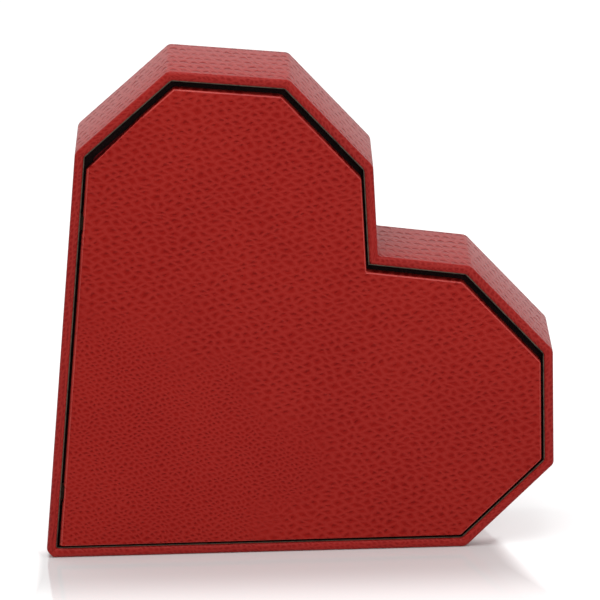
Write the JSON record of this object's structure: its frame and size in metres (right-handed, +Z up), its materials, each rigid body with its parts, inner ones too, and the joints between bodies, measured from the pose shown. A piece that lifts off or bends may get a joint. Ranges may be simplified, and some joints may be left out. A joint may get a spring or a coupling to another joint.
{
  "type": "wind up music box",
  "caption": "Faceted heart music box in red leatherette with an inset hinged lid, lined compartments and a pinned-cylinder movement wound by a key in the back.",
  "frame": {"origin": "middle of the bounding box at the surface that the straight lower side stands on", "axes": "+Z up, -Y out of the lid towards the viewer, +X to the lobe that lies along the table"},
  "size_m": [0.182, 0.042, 0.1776],
  "materials": {
    "leatherette": "red lizard-grain leatherette, satin",
    "velvet": "dark red velvet",
    "gilt_trim": "thin gilt edging",
    "mirror_glass": "silvered mirror",
    "clear_window": "clear plastic window",
    "brass": "polished brass",
    "gilt_plate": "gilt cast plate, satin",
    "spring_steel": "tempered steel",
    "nickel": "nickel plated"
  },
  "bodies": {
    "case": {"case_wall": "leatherette", "case_back": "leatherette", "rim_trim": "gilt_trim", "lid_frame": "velvet", "floor_pad": "velvet", "divider_left": "velvet", "divider_right": "velvet", "divider_notch": "velvet", "hinge_bracket_low": "brass", "hinge_bracket_high": "brass", "hinge_pin_low": "brass", "hinge_pin_high": "brass", "catch_magnet": "nickel", "ring_roll_1": "velvet", "ring_roll_2": "velvet", "ring_roll_3": "velvet", "ring_roll_4": "velvet", "movement_chamber": "velvet", "movement_window": "clear_window", "bedplate": "gilt_plate", "spring_housing": "nickel", "mainspring": "spring_steel", "spring_bridge": "gilt_plate", "comb": "spring_steel", "comb_block": "gilt_plate", "comb_screw_1": "nickel", "comb_screw_2": "nickel", "governor_frame": "gilt_plate", "lever_fork": "gilt_plate", "lever_pin": "nickel", "movement_screw_1": "nickel", "movement_screw_2": "nickel", "movement_screw_3": "nickel"},
    "lid": {"lid_panel": "leatherette", "lid_lining": "velvet", "lid_mirror": "mirror_glass", "catch_keeper": "nickel"},
    "cylinder": {"cylinder_drum": "brass", "cylinder_arbor": "nickel", "cylinder_pinion": "brass", "end_gear": "brass"},
    "great_wheel": {"great_wheel": "brass", "ratchet_click": "spring_steel"},
    "winder": {"winding_arbor": "nickel", "ratchet_wheel": "brass", "winding_key": "brass"},
    "middle": {"middle_arbor": "nickel", "middle_pinion": "nickel", "worm_wheel": "brass"},
    "governor": {"governor_worm": "nickel", "governor_pivot": "nickel", "brake_disc": "brass", "air_fan": "nickel"},
    "stop_lever": {"stop_lever": "nickel"}
  },
  "joints": [
    {"name": "lid_hinge", "type": "hinge", "parent": "case", "child": "lid", "pos_m": [-0.07708, -0.0188, 0.06893], "axis": [-0.1045, 0, -0.9945], "range_deg": [0, 95]},
    {"name": "cylinder_spin", "type": "hinge", "parent": "case", "child": "cylinder", "pos_m": [-0.02912, -0.00653, 0.07654], "axis": [0.6691, 0, -0.7431], "continuous": true},
    {"name": "great_wheel_spin", "type": "hinge", "parent": "case", "child": "great_wheel", "pos_m": [-0.02912, -0.00653, 0.07654], "axis": [0, -1, 0], "continuous": true},
    {"name": "winding", "type": "hinge", "parent": "great_wheel", "child": "winder", "pos_m": [-0.02912, -0.00653, 0.07654], "axis": [0, -1, 0], "range_deg": [0, 1800], "deforming": ["mainspring", "ratchet_click"]},
    {"name": "middle_spin", "type": "hinge", "parent": "case", "child": "middle", "pos_m": [-0.02392, -0.00249, 0.08122], "axis": [0.6691, 0, -0.7431], "continuous": true},
    {"name": "governor_spin", "type": "hinge", "parent": "case", "child": "governor", "pos_m": [0.00586, -0.0025, 0.05649], "axis": [0, -1, 0], "continuous": true},
    {"name": "stop_lever_pivot", "type": "hinge", "parent": "case", "child": "stop_lever", "pos_m": [-0.00187, -0.00539, 0.06508], "axis": [0.7431, 0, 0.6691], "range_deg": [0, 6]}
  ],
  "couplings": [
    {"joint": "great_wheel_spin", "follows": "cylinder_spin", "ratio": 0.33333},
    {"joint": "middle_spin", "follows": "cylinder_spin", "ratio": -3},
    {"joint": "governor_spin", "follows": "cylinder_spin", "ratio": 24},
    {"joint": "stop_lever_pivot", "follows": "lid_hinge", "ratio": 0.063158}
  ]
}
